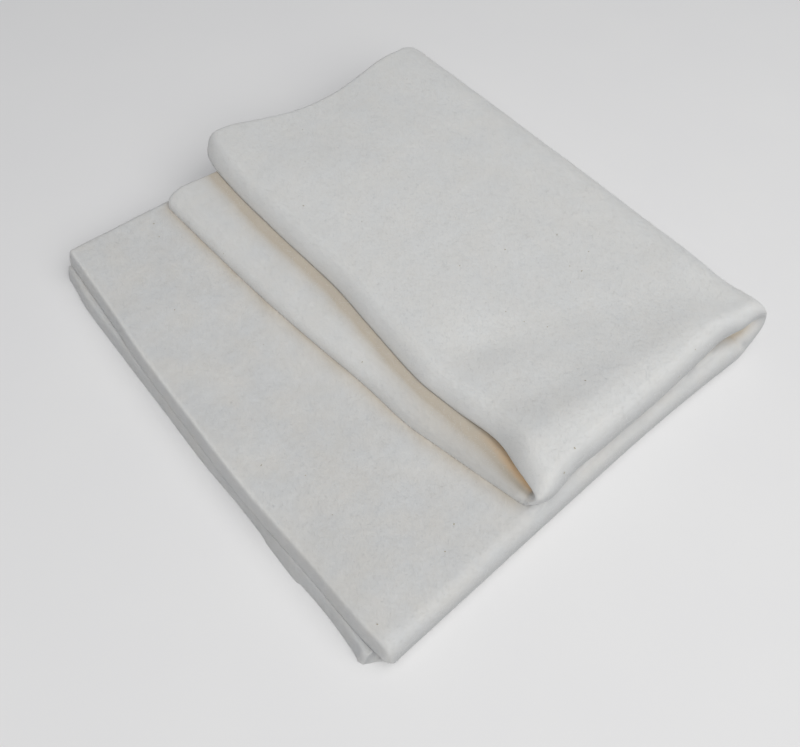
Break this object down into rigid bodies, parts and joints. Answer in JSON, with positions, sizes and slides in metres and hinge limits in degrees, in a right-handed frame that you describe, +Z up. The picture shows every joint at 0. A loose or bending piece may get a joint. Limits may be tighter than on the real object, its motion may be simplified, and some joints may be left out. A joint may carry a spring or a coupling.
{
  "type": "folded wool wadding",
  "caption": "Cut length of thick, soft wool wadding, doubled lengthwise and then folded across, with its upper flap set back from the cut ends of the base.",
  "frame": {"origin": "middle of the bounding box on the table plane", "axes": "+X along the long fold towards the cross fold, +Y from the long fold towards the open side edges, +Z up through the layers"},
  "size_m": [0.2492, 0.265, 0.0409],
  "materials": {
    "wool": "off-white carded wool fibre, dull and faintly mottled"
  },
  "bodies": {
    "root": {"folded_wadding": "wool"}
  },
  "joints": []
}
